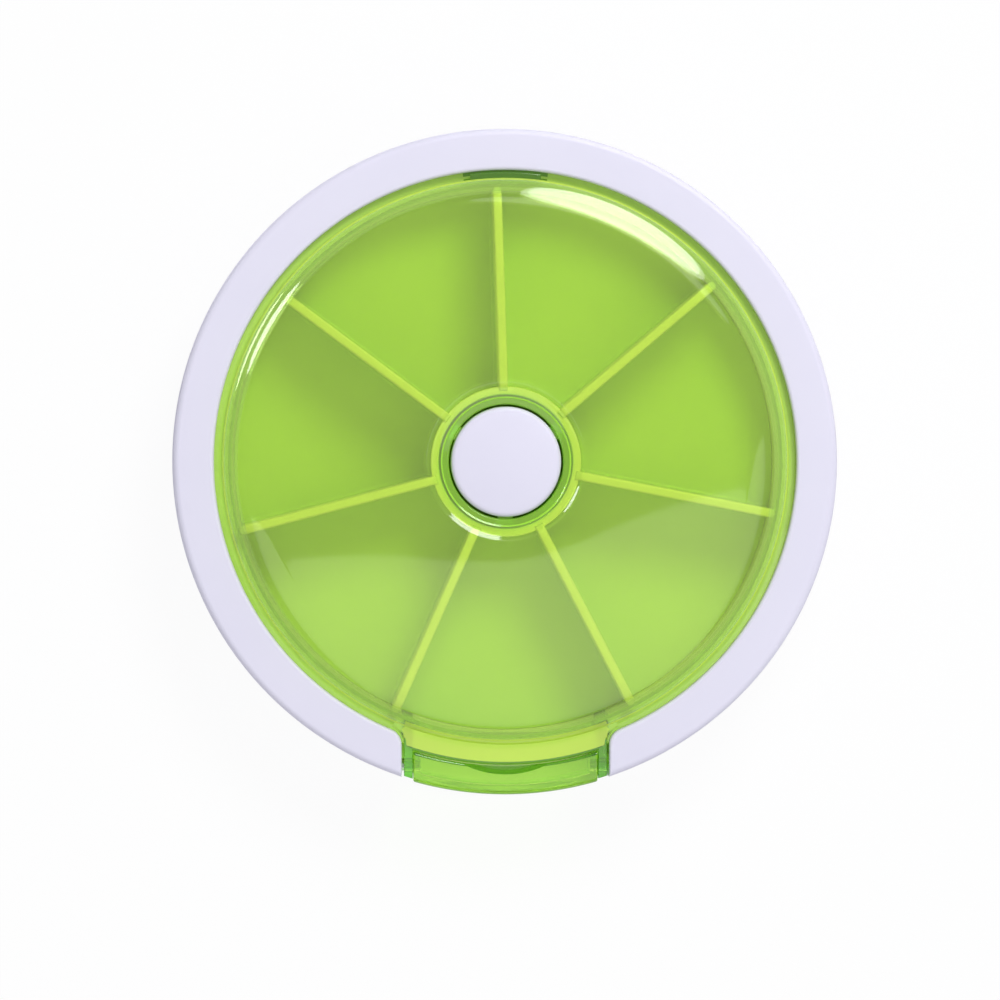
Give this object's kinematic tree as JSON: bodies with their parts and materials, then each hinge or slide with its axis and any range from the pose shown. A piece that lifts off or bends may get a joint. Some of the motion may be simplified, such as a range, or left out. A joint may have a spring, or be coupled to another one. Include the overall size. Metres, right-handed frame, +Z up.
{
  "type": "rotating pill organizer",
  "caption": "Round pocket pill box with a see-through cover, a turning tray of compartments, a push button that advances it and a hinged outlet door.",
  "frame": {"origin": "middle of the footprint, at the height of the surface that the feet stand on", "axes": "+Z up along the turning axis of the tray and the button, -Y towards the outlet door, +X to the right seen from above with the door at the bottom"},
  "size_m": [0.09, 0.09, 0.021],
  "materials": {
    "white_abs": "moulded ABS, satin, white with a faint lavender tint",
    "green_clear_styrene": "moulded clear styrene, glossy, tinted green",
    "lime_polypropylene": "moulded polypropylene, satin, lime",
    "natural_acetal": "moulded acetal, unpigmented",
    "plated_steel": "nickel-plated steel",
    "grey_rubber": "moulded rubber, matte"
  },
  "bodies": {
    "case": {"base_shell": "white_abs", "rim_ring": "white_abs", "cover": "green_clear_styrene", "button_spring": "plated_steel", "bearing_washer": "natural_acetal", "click_spring": "plated_steel", "click_spring_screw": "plated_steel", "hinge_pin_left": "plated_steel", "hinge_pin_right": "plated_steel", "case_screw_1": "plated_steel", "case_screw_2": "plated_steel", "case_screw_3": "plated_steel", "case_screw_4": "plated_steel", "foot_1": "grey_rubber", "foot_2": "grey_rubber", "foot_3": "grey_rubber", "foot_4": "grey_rubber"},
    "tray": {"pill_tray": "lime_polypropylene"},
    "button": {"push_button": "white_abs", "drive_spindle": "natural_acetal"},
    "spin_drive": {"drive_nut": "natural_acetal", "pawl_ring": "natural_acetal", "thrust_washer": "plated_steel"},
    "lid": {"outlet_lid": "green_clear_styrene"}
  },
  "joints": [
    {"name": "tray_spin", "type": "hinge", "parent": "case", "child": "tray", "pos_m": [0, 0, 0.004], "axis": [0, 0, 1], "continuous": true, "deforming": ["pawl_ring", "click_spring"]},
    {"name": "button_press", "type": "slide", "parent": "case", "child": "button", "axis": [0, 0, 1], "range_m": [-0.004, 0], "stiffness_N_per_m": 800, "springref_m": 0.003, "deforming": ["button_spring"]},
    {"name": "drive_turn", "type": "hinge", "parent": "case", "child": "spin_drive", "pos_m": [0, 0, 0.0054], "axis": [0, 0, 1], "range_deg": [-0.5, 52]},
    {"name": "lid_open", "type": "hinge", "parent": "case", "child": "lid", "pos_m": [0, -0.0413, 0.0062], "axis": [1, 0, 0], "range_deg": [0, 90]}
  ],
  "couplings": [
    {"joint": "drive_turn", "follows": "button_press", "rad_per_m": -224.4}
  ]
}
